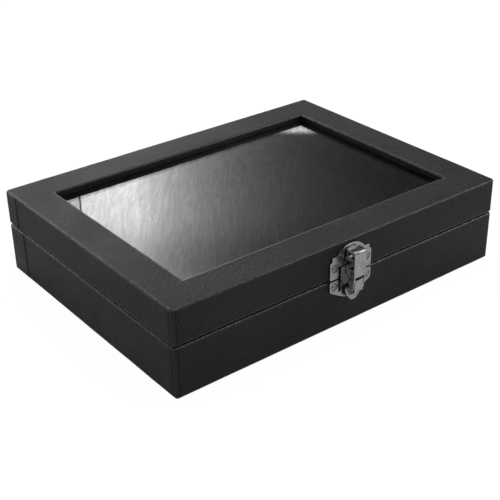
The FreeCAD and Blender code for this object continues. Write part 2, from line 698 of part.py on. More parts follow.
def base():
    """Covered board walls on a floor, with velvet-covered liners standing inside."""
    mitred_set("base_%s_panel", "wrap", "wall", FLOOR_BOTTOM, "(base_top - wrap)")
    plain_sheet("base_floor", FLOOR_BOTTOM, "floor_board", WALL_INSIDE)
    base_cover()
    plain_sheet("underside_sheet", "0", "floor_sheet", "sheet_inset")
    liner_top = "(base_top - liner_drop)"
    mitred_set("base_liner_%s", "(%s + wrap)" % WALL_INSIDE, "liner", FLOOR_TOP, liner_top)
    pin_pad()


def lid():
    """Rails and a flat frame under the leatherette, the glass below the frame, and strips that hold it."""
    mitred_set("lid_%s_rail", "wrap", "rail", "(%s + wrap)" % LID_BOTTOM, FRAME_BOTTOM)
    mitred_set("lid_frame_%s", "wrap", "frame_width", FRAME_BOTTOM, FRAME_TOP)
    lid_cover()
    plain_sheet("glass_pane", GLASS_BOTTOM, "glass", "%s + wrap + glass_clearance" % RAIL_INSIDE)
    retainer_bottom = "(%s + liner_drop)" % LID_BOTTOM
    mitred_set("glass_retainer_%s", "(%s + wrap)" % RAIL_INSIDE, "retainer", retainer_bottom, GLASS_BOTTOM)


def write_pieces():
    """Checks every piece and writes each to its own file."""
    doc.recompute()
    for item in doc.Objects:
        computed(item)
    for body in pieces:
        if body.Shape.isNull() or not body.Shape.isValid():
            raise RuntimeError(body.Label + " is not a valid solid")
    os.makedirs("parts", exist_ok=True)
    for body in pieces:
        body.Shape.exportStep("parts/%s.step" % body.Label)
        print(body.Label, len(body.Shape.Solids), round(body.Shape.Volume, 1))


base()
lid()
hinges()
latch()
write_pieces()
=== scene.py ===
import math

import bmesh
import bpy
from mathutils import Matrix, Vector, noise


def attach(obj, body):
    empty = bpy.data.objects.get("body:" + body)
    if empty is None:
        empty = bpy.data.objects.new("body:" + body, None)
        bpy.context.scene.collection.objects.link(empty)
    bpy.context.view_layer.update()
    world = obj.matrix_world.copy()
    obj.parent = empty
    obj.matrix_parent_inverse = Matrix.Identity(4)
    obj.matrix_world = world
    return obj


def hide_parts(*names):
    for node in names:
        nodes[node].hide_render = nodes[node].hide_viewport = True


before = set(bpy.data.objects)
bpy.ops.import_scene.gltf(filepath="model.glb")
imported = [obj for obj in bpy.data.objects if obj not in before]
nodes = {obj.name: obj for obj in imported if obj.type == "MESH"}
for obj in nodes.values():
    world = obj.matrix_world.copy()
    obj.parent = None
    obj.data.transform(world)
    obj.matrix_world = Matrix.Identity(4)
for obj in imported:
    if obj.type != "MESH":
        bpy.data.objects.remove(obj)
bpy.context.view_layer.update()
MM = 0.001

# The place from which the case is seen: from the front left and above, over half a metre away, a long lens.
SEEN_FROM = Vector((-0.29772, -0.38688, 0.27685))
SEEN_ALONG = Vector((0.53277, 0.69483, -0.48308))
LENS_MM = 76.03
TILT = math.radians(-1.03)

eye = bpy.data.cameras.new("eye")
eye.lens = LENS_MM
eye.sensor_width = 36
eye.clip_start = 0.01
eye_stand = bpy.data.objects.new("eye_stand", eye)
turned = SEEN_ALONG.to_track_quat("-Z", "Y").to_matrix() @ Matrix.Rotation(TILT, 3, "Z")
eye_stand.matrix_world = Matrix.Translation(SEEN_FROM) @ turned.to_4x4()
bpy.context.scene.collection.objects.link(eye_stand)
bpy.context.scene.camera = eye_stand
bpy.context.scene.view_settings.view_transform = "Standard"


# The white table that the case stands on: a smooth pale sheet, seen as white, which keeps a soft shadow.
FLOOR_HALF = 3.0
FLOOR_WHITE = (0.86, 0.86, 0.85, 1)
SEEN_WHITE = 0.9
CARD_BRIGHT = 1.06
MIRRORED_WHITE = 0.1


def add(tree, kind, sockets=None, **settings):
    """A shader node, with its settings and the values of its sockets."""
    made = tree.nodes.new("ShaderNode" + kind)
    for name, value in settings.items():
        setattr(made, name, value)
    for name, value in (sockets or {}).items():
        made.inputs[name].default_value = value
    return made


def join(tree, source, output, target, socket):
    tree.links.new(source.outputs[output], target.inputs[socket])


def coating(name, sockets):
    """A material on one Principled shader, whose fixed values are set on its own sockets."""
    made = bpy.data.materials.new(name)
    made.use_nodes = True
    tree = made.node_tree
    tree.nodes.clear()
    shader = add(tree, "BsdfPrincipled", sockets)
    ends = add(tree, "OutputMaterial")
    join(tree, shader, "BSDF", ends, "Surface")
    return made, tree, shader


def ramp(tree, low, high, from_low, from_high, smooth=True):
    """Turns a value between two limits into a value between two others."""
    kind = "SMOOTHSTEP" if smooth else "LINEAR"
    sockets = {"From Min": from_low, "From Max": from_high, "To Min": low, "To Max": high}
    return add(tree, "MapRange", sockets, interpolation_type=kind)


def new_piece(name, mesh_maker):
    """A new object whose mesh is filled in by the given function."""
    shape = bmesh.new()
    mesh_maker(shape)
    mesh = bpy.data.meshes.new(name)
    bmesh.ops.recalc_face_normals(shape, faces=shape.faces)
    shape.to_mesh(mesh)
    shape.free()
    piece = bpy.data.objects.new(name, mesh)
    bpy.context.scene.collection.objects.link(piece)
    return piece


def table_top(shape):
    bmesh.ops.create_grid(shape, x_segments=12, y_segments=12, size=FLOOR_HALF)


table_coat, tree, table_shader = coating("white_table", {"Roughness": 0.55, "Base Color": FLOOR_WHITE})
mottle = add(tree, "TexNoise", {"Scale": 6.0, "Detail": 3.0})
mottle_range = ramp(tree, 0.5, 0.6, 0.3, 0.7)
join(tree, mottle, "Fac", mottle_range, "Value")
join(tree, mottle_range, "Result", table_shader, "Roughness")
seen = add(tree, "LightPath")
direct = add(tree, "Math", operation="MAXIMUM")
join(tree, seen, "Is Camera Ray", direct, 0)
join(tree, seen, "Is Transmission Ray", direct, 1)
direct_share = add(tree, "Math", {1: SEEN_WHITE}, operation="MULTIPLY")
join(tree, direct, "Value", direct_share, 0)
share = add(tree, "Math", {1: MIRRORED_WHITE}, operation="MULTIPLY_ADD")
join(tree, seen, "Is Glossy Ray", share, 0)
join(tree, direct_share, "Value", share, 2)
white_card = add(tree, "Emission", {"Color": (1, 1, 1, 1), "Strength": CARD_BRIGHT})
both = add(tree, "MixShader")
join(tree, share, "Value", both, "Fac")
join(tree, table_shader, "BSDF", both, 1)
join(tree, white_card, "Emission", both, 2)
join(tree, both, "Shader", tree.nodes["Material Output"], "Surface")

table = new_piece("table_top", table_top)
table.data.materials.append(table_coat)


# The studio round the case: a white surround that is brightest low down behind the case and fades upwards,
# with a bright screen to the left of it whose edge melts away, and two broad soft lamps.
AMBIENT = 0.6
SCREEN_TOWARDS = math.radians(22)
SCREEN_BRIGHT = 3.2
SCREEN_FADE = 21.0
SCREEN_START = 3.98
BAND_BRIGHT = 2.4
CEILING_BRIGHT = 1.6
FAR_END = 0.67
STAND_AT = 0.4779
ROOM_DIM = 0.05

world = bpy.data.worlds.new("studio")
world.use_nodes = True
bpy.context.scene.world = world
tree = world.node_tree
tree.nodes.clear()
sky_end = add(tree, "OutputWorld")
towards = add(tree, "TexCoord")
parts = add(tree, "SeparateXYZ")
join(tree, towards, "Generated", parts, "Vector")
# The bright surround ends a fifth of the way up, above which the room is dim.
low_band = ramp(tree, BAND_BRIGHT, 0.0, 0.38, 0.386)
join(tree, parts, "Z", low_band, "Value")
band_foot = ramp(tree, 0.0, 1.0, 0.16, 0.36)
join(tree, parts, "Z", band_foot, "Value")
band = add(tree, "Math", operation="MULTIPLY")
join(tree, low_band, "Result", band, 0)
join(tree, band_foot, "Result", band, 1)
# The screen on the left: how far a direction lies to the right of it.
across = add(tree, "VectorMath", operation="DOT_PRODUCT")
across.inputs[1].default_value = (math.cos(SCREEN_TOWARDS), -math.sin(SCREEN_TOWARDS), 0)
join(tree, towards, "Generated", across, 0)
fading = add(tree, "Math", {1: -SCREEN_FADE, 2: SCREEN_START}, operation="MULTIPLY_ADD")
join(tree, across, "Value", fading, 0)
faded = add(tree, "Math", operation="EXPONENT")
join(tree, fading, "Value", faded, 0)
capped = add(tree, "Math", {1: SCREEN_BRIGHT}, operation="MINIMUM")
join(tree, faded, "Value", capped, 0)
upwards = ramp(tree, 1.0, 0.5, 0.445, 0.495)
join(tree, parts, "Z", upwards, "Value")
lower_screen = add(tree, "Math", operation="MULTIPLY")
join(tree, capped, "Value", lower_screen, 0)
join(tree, upwards, "Result", lower_screen, 1)
top_end = ramp(tree, 1.0, 0.15, 0.53, 0.65)
join(tree, parts, "Z", top_end, "Value")
whole_screen = add(tree, "Math", operation="MULTIPLY")
join(tree, lower_screen, "Value", whole_screen, 0)
join(tree, top_end, "Result", whole_screen, 1)
# The screen's far end is dimmer, past the thin stand that holds it up.
heading = add(tree, "Math", operation="ARCTAN2")
join(tree, parts, "X", heading, 0)
join(tree, parts, "Y", heading, 1)
far_end = ramp(tree, FAR_END, 1.0, STAND_AT - 0.001, STAND_AT)
join(tree, heading, "Value", far_end, "Value")
from_stand = add(tree, "Math", {1: STAND_AT}, operation="SUBTRACT")
join(tree, heading, "Value", from_stand, 0)
beside_stand = add(tree, "Math", operation="ABSOLUTE")
join(tree, from_stand, "Value", beside_stand, 0)
past_stand = ramp(tree, 0.1, 1.0, 0.0007, 0.0012)
join(tree, beside_stand, "Value", past_stand, "Value")
held_up = add(tree, "Math", operation="MULTIPLY")
join(tree, far_end, "Result", held_up, 0)
join(tree, past_stand, "Result", held_up, 1)
screen = add(tree, "Math", operation="MULTIPLY")
join(tree, whole_screen, "Value", screen, 0)
join(tree, held_up, "Value", screen, 1)
ahead = add(tree, "VectorMath", operation="DOT_PRODUCT")
ahead.inputs[1].default_value = (math.sin(SCREEN_TOWARDS), math.cos(SCREEN_TOWARDS), 0)
join(tree, towards, "Generated", ahead, 0)
in_front = ramp(tree, 0.0, 1.0, 0.35, 0.75)
join(tree, ahead, "Value", in_front, "Value")
bright = add(tree, "Math", operation="ADD")
join(tree, screen, "Value", bright, 0)
join(tree, band, "Value", bright, 1)
bright_ahead = add(tree, "Math", {2: ROOM_DIM}, operation="MULTIPLY_ADD")
join(tree, bright, "Value", bright_ahead, 0)
join(tree, in_front, "Result", bright_ahead, 1)
# The ceiling is lit above and before the case, and catches the rounded edges.
overhead = ramp(tree, 0.0, CEILING_BRIGHT, 0.5, 0.7)
join(tree, parts, "Z", overhead, "Value")
before_case = ramp(tree, 1.0, 0.0, -0.1, 0.3)
join(tree, ahead, "Value", before_case, "Value")
straight_up = ramp(tree, 1.0, 0.15, 0.85, 0.97)
join(tree, parts, "Z", straight_up, "Value")
ceiling = add(tree, "Math", operation="MULTIPLY")
join(tree, before_case, "Result", ceiling, 0)
join(tree, straight_up, "Result", ceiling, 1)
mirrored = add(tree, "Math", operation="MULTIPLY_ADD")
join(tree, overhead, "Result", mirrored, 0)
join(tree, ceiling, "Value", mirrored, 1)
join(tree, bright_ahead, "Value", mirrored, 2)

path = add(tree, "LightPath")
ambient = add(tree, "Background", {"Color": (1, 1, 1, 1), "Strength": AMBIENT})
backdrop = add(tree, "Background", {"Color": (1, 1, 1, 1), "Strength": 1.0})
reflected = add(tree, "Background", {"Color": (1, 1, 1, 1)})
join(tree, mirrored, "Value", reflected, "Strength")
mirrored_or_through = add(tree, "Math", operation="MAXIMUM")
join(tree, path, "Is Glossy Ray", mirrored_or_through, 0)
join(tree, path, "Is Transmission Ray", mirrored_or_through, 1)
glossy = add(tree, "MixShader")
join(tree, mirrored_or_through, "Value", glossy, "Fac")
join(tree, ambient, "Background", glossy, 1)
join(tree, reflected, "Background", glossy, 2)
sky = add(tree, "MixShader")
join(tree, path, "Is Camera Ray", sky, "Fac")
join(tree, glossy, "Shader", sky, 1)
join(tree, backdrop, "Background", sky, 2)
join(tree, sky, "Shader", sky_end, "Surface")


def soft_lamp(name, place, size, watts):
    lamp = bpy.data.lights.new(name, "AREA")
    lamp.shape = "RECTANGLE"
    lamp.size, lamp.size_y = size
    lamp.energy = watts
    stand = bpy.data.objects.new(name, lamp)
    stand.matrix_world = Matrix.Translation(place) @ Vector(place).to_track_quat("Z", "Y").to_matrix().to_4x4()
    bpy.context.scene.collection.objects.link(stand)


soft_lamp("lamp_overhead", (0.3, 0.42, 1.15), (0.8, 0.8), 4.0)
soft_lamp("lamp_front_right", (0.9, -0.7, 0.6), (0.5, 0.5), 5.0)


# Walls and floor of the base, and the rails and frame boards of the lid: sawn fibreboard, mitred and
# glued, hidden under the covering. They stay as the CAD has them.
BOARDS = [
    "base_front_panel", "base_back_panel", "base_left_panel", "base_right_panel", "base_floor",
    "lid_front_rail", "lid_back_rail", "lid_left_rail", "lid_right_rail",
    "lid_frame_front", "lid_frame_back", "lid_frame_left", "lid_frame_right",
]
BOARD_PALE = (0.42, 0.3, 0.19, 1)
BOARD_DARK = (0.28, 0.19, 0.11, 1)


def pattern(name, inputs, outputs):
    """A node group for an effect that several materials share, with its named inputs and outputs."""
    group = bpy.data.node_groups.new(name, "ShaderNodeTree")
    for label, value in inputs.items():
        socket = group.interface.new_socket(label, in_out="INPUT", socket_type="NodeSocketFloat")
        socket.default_value = value
    for label in outputs:
        group.interface.new_socket(label, in_out="OUTPUT", socket_type="NodeSocketFloat")
    return group, group.nodes.new("NodeGroupInput"), group.nodes.new("NodeGroupOutput")


def placed(tree, group, sockets=None):
    """A node group in a material, with this material's own values."""
    made = tree.nodes.new("ShaderNodeGroup")
    made.node_tree = group
    for name, value in (sockets or {}).items():
        made.inputs[name].default_value = value
    return made


def blend_colours(tree, source, output, first, second, shader, socket="Base Color"):
    """Runs between two colours as a value runs from 0 to 1."""
    made = add(tree, "Mix", data_type="RGBA")
    made.inputs["A"].default_value = first
    made.inputs["B"].default_value = second
    # The socket named Factor appears once per data type, and the first one is the number.
    tree.links.new(source.outputs[output], made.inputs[0])
    tree.links.new(made.outputs[2], shader.inputs[socket])
    return made


def raised(tree, source, output, shader, strength, depth):
    """Bump from a height, on the shader's normal."""
    made = add(tree, "Bump", {"Strength": strength, "Distance": depth})
    join(tree, source, output, made, "Height")
    join(tree, made, "Normal", shader, "Normal")
    return made


fibres, entry, leaving = pattern("board_fibres", {"Scale": 900.0}, ["Tone", "Height"])
place = add(fibres, "TexCoord")
stretched = add(fibres, "Mapping", {"Scale": (1, 1, 3)})
join(fibres, place, "Object", stretched, "Vector")
fine = add(fibres, "TexNoise", {"Detail": 6.0, "Roughness": 0.7})
join(fibres, stretched, "Vector", fine, "Vector")
join(fibres, entry, "Scale", fine, "Scale")
fine_range = ramp(fibres, 0.0, 1.0, 0.3, 0.7)
join(fibres, fine, "Fac", fine_range, "Value")
join(fibres, fine_range, "Result", leaving, "Tone")
join(fibres, fine, "Fac", leaving, "Height")

board_coat, tree, shader = coating("fibreboard", {"Roughness": 0.85, "Specular IOR Level": 0.3})
sawn = placed(tree, fibres)
blend_colours(tree, sawn, "Tone", BOARD_DARK, BOARD_PALE, shader)
raised(tree, sawn, "Height", shader, 0.4, 0.0002)


def recoat(name, coat):
    """Gives a CAD node this coating on all its faces."""
    mesh = nodes[name].data
    mesh.materials.clear()
    mesh.materials.append(coat)


for board in BOARDS:
    recoat(board, board_coat)


# The covering: black grained leatherette, glued round the boards and turned in at the edges. It is thin,
# so it follows the boards with small unevenness, and its ends lap over each other on the left side.
COVER_X, COVER_Y = 100 * MM, 75 * MM
COVER_THICK = 0.5 * MM
COVER_CORNER = 1.5 * MM
INNER_CORNER = 0.25 * MM
BEND_STEPS = 4
BEND_SIDE = 0.35
CORNER_STEPS = 6
CORNER_TAUT = 0.3
SKIN_STEP = 4 * MM
LAP_RISE = 0.28 * MM
FOLD_DEEP = 0.4 * MM
FOLD_HALF = 0.2 * MM
FOLD_AT = 2.0 * MM
UNEVEN = 0.07 * MM
LEATHER_DEEP = (0.005, 0.005, 0.0054, 1)
LEATHER_WORN = (0.016, 0.016, 0.017, 1)


def bent(points, radii):
    """A closed section in mm whose corners are rounded, as (inset, height) points in metres. Each bend
    has a further point a little way before and after it."""
    out = []
    count = len(points)
    for i, radius in enumerate(radii):
        here = Vector(points[i])
        before = Vector(points[i - 1]) - here
        after = Vector(points[(i + 1) % count]) - here
        if not radius:
            out.append(here)
            continue
        start = here + before.normalized() * radius
        end = here + after.normalized() * radius
        centre = start + after.normalized() * radius
        if before.length > 4 * radius + 2:
            out.append(start + before.normalized() * BEND_SIDE)
        for k in range(BEND_STEPS + 1):
            turn = math.pi / 2 * k / BEND_STEPS
            out.append(centre + (start - centre) * math.cos(turn) + (end - centre) * math.sin(turn))
        if after.length > 4 * radius + 2:
            out.append(end + after.normalized() * BEND_SIDE)
    return [p * MM for p in out]


def finely(points, step):
    """The same closed section with its long runs divided."""
    out = []
    for i, here in enumerate(points):
        after = points[(i + 1) % len(points)]
        parts_count = max(1, round((after - here).length / step))
        out += [here.lerp(after, k / parts_count) for k in range(parts_count)]
    return out


def stations(reach, extra=()):
    """Where the rings have points along one side, as shares of its half length."""
    count = round(2 * reach / SKIN_STEP)
    marks = [-1 + 2 * i / count for i in range(count + 1)]
    marks += [-1 + BEND_SIDE * MM / reach, 1 - BEND_SIDE * MM / reach]
    for mark in extra:
        marks += [(mark + side) / reach for side in (-2 * FOLD_HALF, -FOLD_HALF, FOLD_HALF, 2 * FOLD_HALF)]
    return sorted(marks)


SIDE_TURNS = (
    (Vector((0, -1)), Vector((1, 0))),
    (Vector((1, 0)), Vector((0, 1))),
    (Vector((0, 1)), Vector((-1, 0))),
    (Vector((-1, 0)), Vector((0, -1))),
)


def ring_points(inset, height, marks):
    """One ring of the covering round the box, with its corners rounded."""
    radius = max(COVER_CORNER - inset, INNER_CORNER)
    ring = []
    for (out, along), side_marks in zip(SIDE_TURNS, marks):
        far, half = (COVER_Y, COVER_X) if out.x == 0 else (COVER_X, COVER_Y)
        far -= inset
        half -= inset + radius
        for mark in side_marks:
            ring.append(out * far + along * (mark * half))
        centre = out * (far - radius) + along * half
        for k in range(1, CORNER_STEPS):
            turn = math.pi / 2 * k / CORNER_STEPS
            ring.append(centre + (out * math.cos(turn) + along * math.sin(turn)) * radius)
    return [Vector((p.x, p.y, height)) for p in ring]


def step_up(distance, width=0.15 * MM):
    """0 before a lap's edge and 1 after it, with a short slope between."""
    return min(1.0, max(0.0, 0.5 + distance / (2 * width)))


def crease(distance):
    """1 along the line of a fold and 0 beside it."""
    return min(1.0, max(0.0, 2 - abs(distance) / FOLD_HALF))


def settle(point, lap_from):
    """Lifts the lapped end of the covering, creases its front corner and adds the unevenness of a glued skin."""
    outside_left = point.x < -COVER_X + 0.01 * MM
    outside_front = point.y < -COVER_Y + 0.01 * MM
    moved = point.copy()
    if outside_left:
        moved.x -= LAP_RISE * step_up(point.y - lap_from)
        moved.x += FOLD_DEEP * crease(COVER_Y - FOLD_AT + point.y)
    if outside_front:
        moved.y += FOLD_DEEP * crease(COVER_X - FOLD_AT + point.x)
    wave = noise.noise_vector(point * 55) + noise.noise_vector(point * 160) * 0.4
    return moved + wave * UNEVEN


def sharpness(loop, index):
    """How tightly a closed run of points turns: 0 where it is straight and 1 where it goes round an edge."""
    here = loop[index]
    turn = (here - loop[index - 1]).angle(loop[(index + 1) % len(loop)] - here, 0)
    return min(1.0, max(0.0, (math.degrees(turn) - 5) / 12))


def covering(name, section, lap_from):
    """A skin swept round the box: the section closed on itself, ring by ring."""
    fold_x, fold_y = COVER_X - FOLD_AT, COVER_Y - FOLD_AT
    marks = [
        stations(COVER_X - COVER_CORNER, (-fold_x,)), stations(COVER_Y - COVER_CORNER),
        stations(COVER_X - COVER_CORNER), stations(COVER_Y - COVER_CORNER, (-lap_from, fold_y)),
    ]

    def sweep(shape):
        taut = shape.verts.layers.float.new("taut")
        rings = []
        outline = finely(section, SKIN_STEP)
        for i, (inset, height) in enumerate(outline):
            ring = ring_points(inset, height, marks)
            rings.append([shape.verts.new(settle(p, lap_from)) for p in ring])
            for k, vert in enumerate(rings[-1]):
                on_corner = sharpness(ring, k) * CORNER_TAUT if inset < INNER_CORNER else 0
                vert[taut] = max(sharpness(outline, i), on_corner)
        for i, ring in enumerate(rings):
            following = rings[(i + 1) % len(rings)]
            for k, vert in enumerate(ring):
                after = (k + 1) % len(ring)
                shape.faces.new((vert, ring[after], following[after], following[k]))

    piece = new_piece(name, sweep)
    piece.data.shade_smooth()
    piece.modifiers.new("even_shading", "WEIGHTED_NORMAL").keep_sharp = True
    return piece


dust, entry, leaving = pattern("dust", {"Scale": 700.0, "Amount": 0.5}, ["Mask"])
place = add(dust, "TexCoord")
specks = add(dust, "TexVoronoi", {"Randomness": 1.0})
join(dust, place, "Object", specks, "Vector")
join(dust, entry, "Scale", specks, "Scale")
speck_edge = ramp(dust, 1.0, 0.0, 0.05, 0.17)
join(dust, specks, "Distance", speck_edge, "Value")
sparse = add(dust, "TexNoise", {"Scale": 90.0, "Detail": 2.0})
join(dust, place, "Object", sparse, "Vector")
sparse_edge = ramp(dust, 0.0, 1.0, 0.56, 0.74)
join(dust, sparse, "Fac", sparse_edge, "Value")
speck_mask = add(dust, "Math", operation="MULTIPLY")
join(dust, speck_edge, "Result", speck_mask, 0)
join(dust, sparse_edge, "Result", speck_mask, 1)
speck_amount = add(dust, "Math", operation="MULTIPLY")
join(dust, speck_mask, "Value", speck_amount, 0)
join(dust, entry, "Amount", speck_amount, 1)
join(dust, speck_amount, "Value", leaving, "Mask")

grain, entry, leaving = pattern("leatherette_grain", {"Scale": 1700.0}, ["Height", "Tone", "Gloss"])
place = add(grain, "TexCoord")
warp = add(grain, "TexNoise", {"Scale": 700.0, "Detail": 2.0})
join(grain, place, "Object", warp, "Vector")
warped = add(grain, "MixRGB", {"Fac": 0.0012}, blend_type="ADD")
join(grain, place, "Object", warped, "Color1")
join(grain, warp, "Color", warped, "Color2")
pebbles = add(grain, "TexVoronoi", {"Randomness": 1.0}, feature="SMOOTH_F1")
join(grain, warped, "Color", pebbles, "Vector")
join(grain, entry, "Scale", pebbles, "Scale")
creases = add(grain, "TexNoise", {"Scale": 1500.0, "Detail": 5.0, "Roughness": 0.65})
join(grain, place, "Object", creases, "Vector")
pebble_range = ramp(grain, 1.0, 0.0, 0.1, 0.75)
join(grain, pebbles, "Distance", pebble_range, "Value")
fine_height = add(grain, "Math", operation="MULTIPLY")
join(grain, pebble_range, "Result", fine_height, 1)
join(grain, creases, "Fac", fine_height, 0)
pits = add(grain, "TexNoise", {"Scale": 620.0, "Detail": 4.0, "Roughness": 0.6})
join(grain, place, "Object", pits, "Vector")
height = add(grain, "Math", {1: 2.4}, operation="MULTIPLY_ADD")
join(grain, pits, "Fac", height, 0)
join(grain, fine_height, "Value", height, 2)
join(grain, height, "Value", leaving, "Height")
cloudy = add(grain, "TexNoise", {"Scale": 22.0, "Detail": 4.0, "Roughness": 0.6})
join(grain, place, "Object", cloudy, "Vector")
tone = add(grain, "Math", operation="MULTIPLY")
join(grain, pebble_range, "Result", tone, 0)
join(grain, cloudy, "Fac", tone, 1)
join(grain, tone, "Value", leaving, "Tone")
gloss = ramp(grain, 0.54, 0.44, 0.25, 0.75)
join(grain, cloudy, "Fac", gloss, "Value")
join(grain, gloss, "Result", leaving, "Gloss")

leather_coat, tree, shader = coating("leatherette", {})
skin = placed(tree, grain)
flecks = placed(tree, dust, {"Amount": 0.35})
colour = blend_colours(tree, skin, "Tone", LEATHER_DEEP, LEATHER_WORN, shader)
dusty = add(tree, "Mix", data_type="RGBA")
dusty.inputs["B"].default_value = (0.3, 0.3, 0.3, 1)
tree.links.new(flecks.outputs["Mask"], dusty.inputs[0])
tree.links.new(colour.outputs[2], dusty.inputs["A"])
tree.links.new(dusty.outputs[2], shader.inputs["Base Color"])
# Where the skin is drawn over an edge it is smoother and shines more.
drawn = add(tree, "Attribute", attribute_name="taut")
drawn_gloss = ramp(tree, 0.0, -0.24, 0.0, 1.0, smooth=False)
join(tree, drawn, "Fac", drawn_gloss, "Value")
smoothed = add(tree, "Math", operation="ADD")
join(tree, skin, "Gloss", smoothed, 0)
join(tree, drawn_gloss, "Result", smoothed, 1)
join(tree, smoothed, "Value", shader, "Roughness")
shine = ramp(tree, 0.155, 0.42, 0.0, 1.0, smooth=False)
join(tree, drawn, "Fac", shine, "Value")
join(tree, shine, "Result", shader, "Specular IOR Level")
raised(tree, skin, "Height", shader, 0.6, 0.0002)

BASE_LAP = COVER_Y - 15 * MM
LID_LAP = COVER_Y - 10.7 * MM
base_section = bent(
    [(0, 0.4), (12, 0.4), (12, 0.9), (0.5, 0.9), (0.5, 26.2), (6.5, 26.2), (6.5, 16.7), (7, 16.7), (7, 26.7), (0, 26.7)],
    (0.9, 0.2, 0, 0, 0, 0, 0, 0.2, 0.5, 0.9),
)
base_skin = covering("base_skin", base_section, BASE_LAP)
base_skin.data.materials.append(leather_coat)
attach(base_skin, "base")
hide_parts("base_cover")

lid_section = bent(
    [(0, 27.3), (7, 27.3), (7, 32.8), (6.5, 32.8), (6.5, 27.8), (0.5, 27.8), (0.5, 45.2), (18.1, 45.2), (18.1, 42.55),
     (9.6, 42.55), (9.6, 42.05), (18.6, 42.05), (18.6, 45.7), (0, 45.7)],
    (0.9, 0.5, 0.2, 0, 0, 0, 0, 0, 0, 0, 0.2, 0.3, 1.1, 0.9),
)
lid_skin = covering("lid_skin", lid_section, LID_LAP)
lid_skin.data.materials.append(leather_coat)
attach(lid_skin, "lid")
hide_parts("lid_cover")


# The sheet under the base: thin black non-woven cloth, glued over the turned-under edges.
CLOTH_DARK = (0.012, 0.012, 0.012, 1)
CLOTH_PALE = (0.04, 0.04, 0.04, 1)

cloth_coat, tree, shader = coating("underside_cloth", {"Roughness": 0.95, "Specular IOR Level": 0.2})
felted = placed(tree, fibres, {"Scale": 1600.0})
blend_colours(tree, felted, "Tone", CLOTH_DARK, CLOTH_PALE, shader)
raised(tree, felted, "Height", shader, 0.7, 0.0003)
recoat("underside_sheet", cloth_coat)


# Linings: card strips faced with black velvet, glued inside the base's walls and under the glass,
# where they also hold the pane up.
LININGS = [part + side for part in ("base_liner_", "glass_retainer_") for side in ("front", "back", "left", "right")]
VELVET_DEEP = (0.002, 0.002, 0.0022, 1)
VELVET_LIT = (0.007, 0.007, 0.0075, 1)

nap, entry, leaving = pattern("velvet_nap", {"Scale": 2400.0}, ["Height", "Tone"])
place = add(nap, "TexCoord")
pile = add(nap, "TexNoise", {"Detail": 3.0, "Roughness": 0.7})
join(nap, place, "Object", pile, "Vector")
join(nap, entry, "Scale", pile, "Scale")
join(nap, pile, "Fac", leaving, "Height")
brushed = add(nap, "TexNoise", {"Scale": 26.0, "Detail": 5.0, "Roughness": 0.6, "Distortion": 0.6})
join(nap, place, "Object", brushed, "Vector")
brushed_range = ramp(nap, 0.0, 1.0, 0.35, 0.68)
join(nap, brushed, "Fac", brushed_range, "Value")
pile_tone = add(nap, "Math", operation="MULTIPLY")
join(nap, brushed_range, "Result", pile_tone, 0)
join(nap, pile, "Fac", pile_tone, 1)
join(nap, pile_tone, "Value", leaving, "Tone")


def velvet(name, lint):
    """Black velvet: pile that is darkest seen from above, brushed in patches, with a little lint."""
    sockets = {"Roughness": 0.9, "Specular IOR Level": 0.1, "Sheen Weight": 0.03, "Sheen Roughness": 0.4}
    made, tree, shader = coating(name, sockets)
    brushed_nap = placed(tree, nap)
    fluff = placed(tree, dust, {"Amount": lint, "Scale": 420.0})
    colour = blend_colours(tree, brushed_nap, "Tone", VELVET_DEEP, VELVET_LIT, shader)
    linty = add(tree, "Mix", data_type="RGBA")
    linty.inputs["B"].default_value = (0.22, 0.22, 0.22, 1)
    tree.links.new(fluff.outputs["Mask"], linty.inputs[0])
    tree.links.new(colour.outputs[2], linty.inputs["A"])
    tree.links.new(linty.outputs[2], shader.inputs["Base Color"])
    raised(tree, brushed_nap, "Height", shader, 0.8, 0.0003)
    return made


lining_coat = velvet("velvet_lining", 0.3)
for strip in LININGS:
    recoat(strip, lining_coat)


# The pin pad: foam on a card, with black velvet drawn over it and tucked under, lying in the base
# between the linings. Pins are stuck through the velvet into the foam.
PAD_X, PAD_Y = 91 * MM, 66 * MM
PAD_BOTTOM, PAD_EDGE_TOP, PAD_CROWN_TOP = 3.9 * MM, 17.2 * MM, 18.8 * MM
PAD_SHRINK = 0.6 * MM
PAD_VOXEL = 4 * MM
PAD_SWELL = 1.0 * MM
PAD_CORNER = 3.0 * MM

velvet_coat = velvet("pad_velvet", 0.5)


def pad_form(shape):
    """A flat-bottomed block with a crowned top, a little smaller than the space it fills."""
    across_count, deep_count, up_count = 60, 44, 5
    half_x, half_y = PAD_X - PAD_SHRINK, PAD_Y - PAD_SHRINK
    grid = {}

    def crown(u, v):
        return (PAD_CROWN_TOP - PAD_EDGE_TOP) * (1 - u * u) * (1 - v * v)

    def point(i, j, k):
        u, v, w = 2 * i / across_count - 1, 2 * j / deep_count - 1, k / up_count
        edge = max(abs(u), abs(v))
        top = PAD_EDGE_TOP - PAD_SHRINK + crown(u, v) - 1.4 * MM * max(0, (edge - 0.94) / 0.06) ** 2
        return Vector((u * half_x, v * half_y, PAD_BOTTOM + 0.3 * MM + w * (top - PAD_BOTTOM - 0.3 * MM)))

    def vert(i, j, k):
        if (i, j, k) not in grid:
            grid[i, j, k] = shape.verts.new(point(i, j, k))
        return grid[i, j, k]

    for i in range(across_count):
        for j in range(deep_count):
            for k in (0, up_count):
                shape.faces.new([vert(i, j, k), vert(i + 1, j, k), vert(i + 1, j + 1, k), vert(i, j + 1, k)])
    for k in range(up_count):
        for i in range(across_count):
            for j in (0, deep_count):
                shape.faces.new([vert(i, j, k), vert(i + 1, j, k), vert(i + 1, j, k + 1), vert(i, j, k + 1)])
        for j in range(deep_count):
            for i in (0, across_count):
                shape.faces.new([vert(i, j, k), vert(i, j + 1, k), vert(i, j + 1, k + 1), vert(i, j, k + 1)])


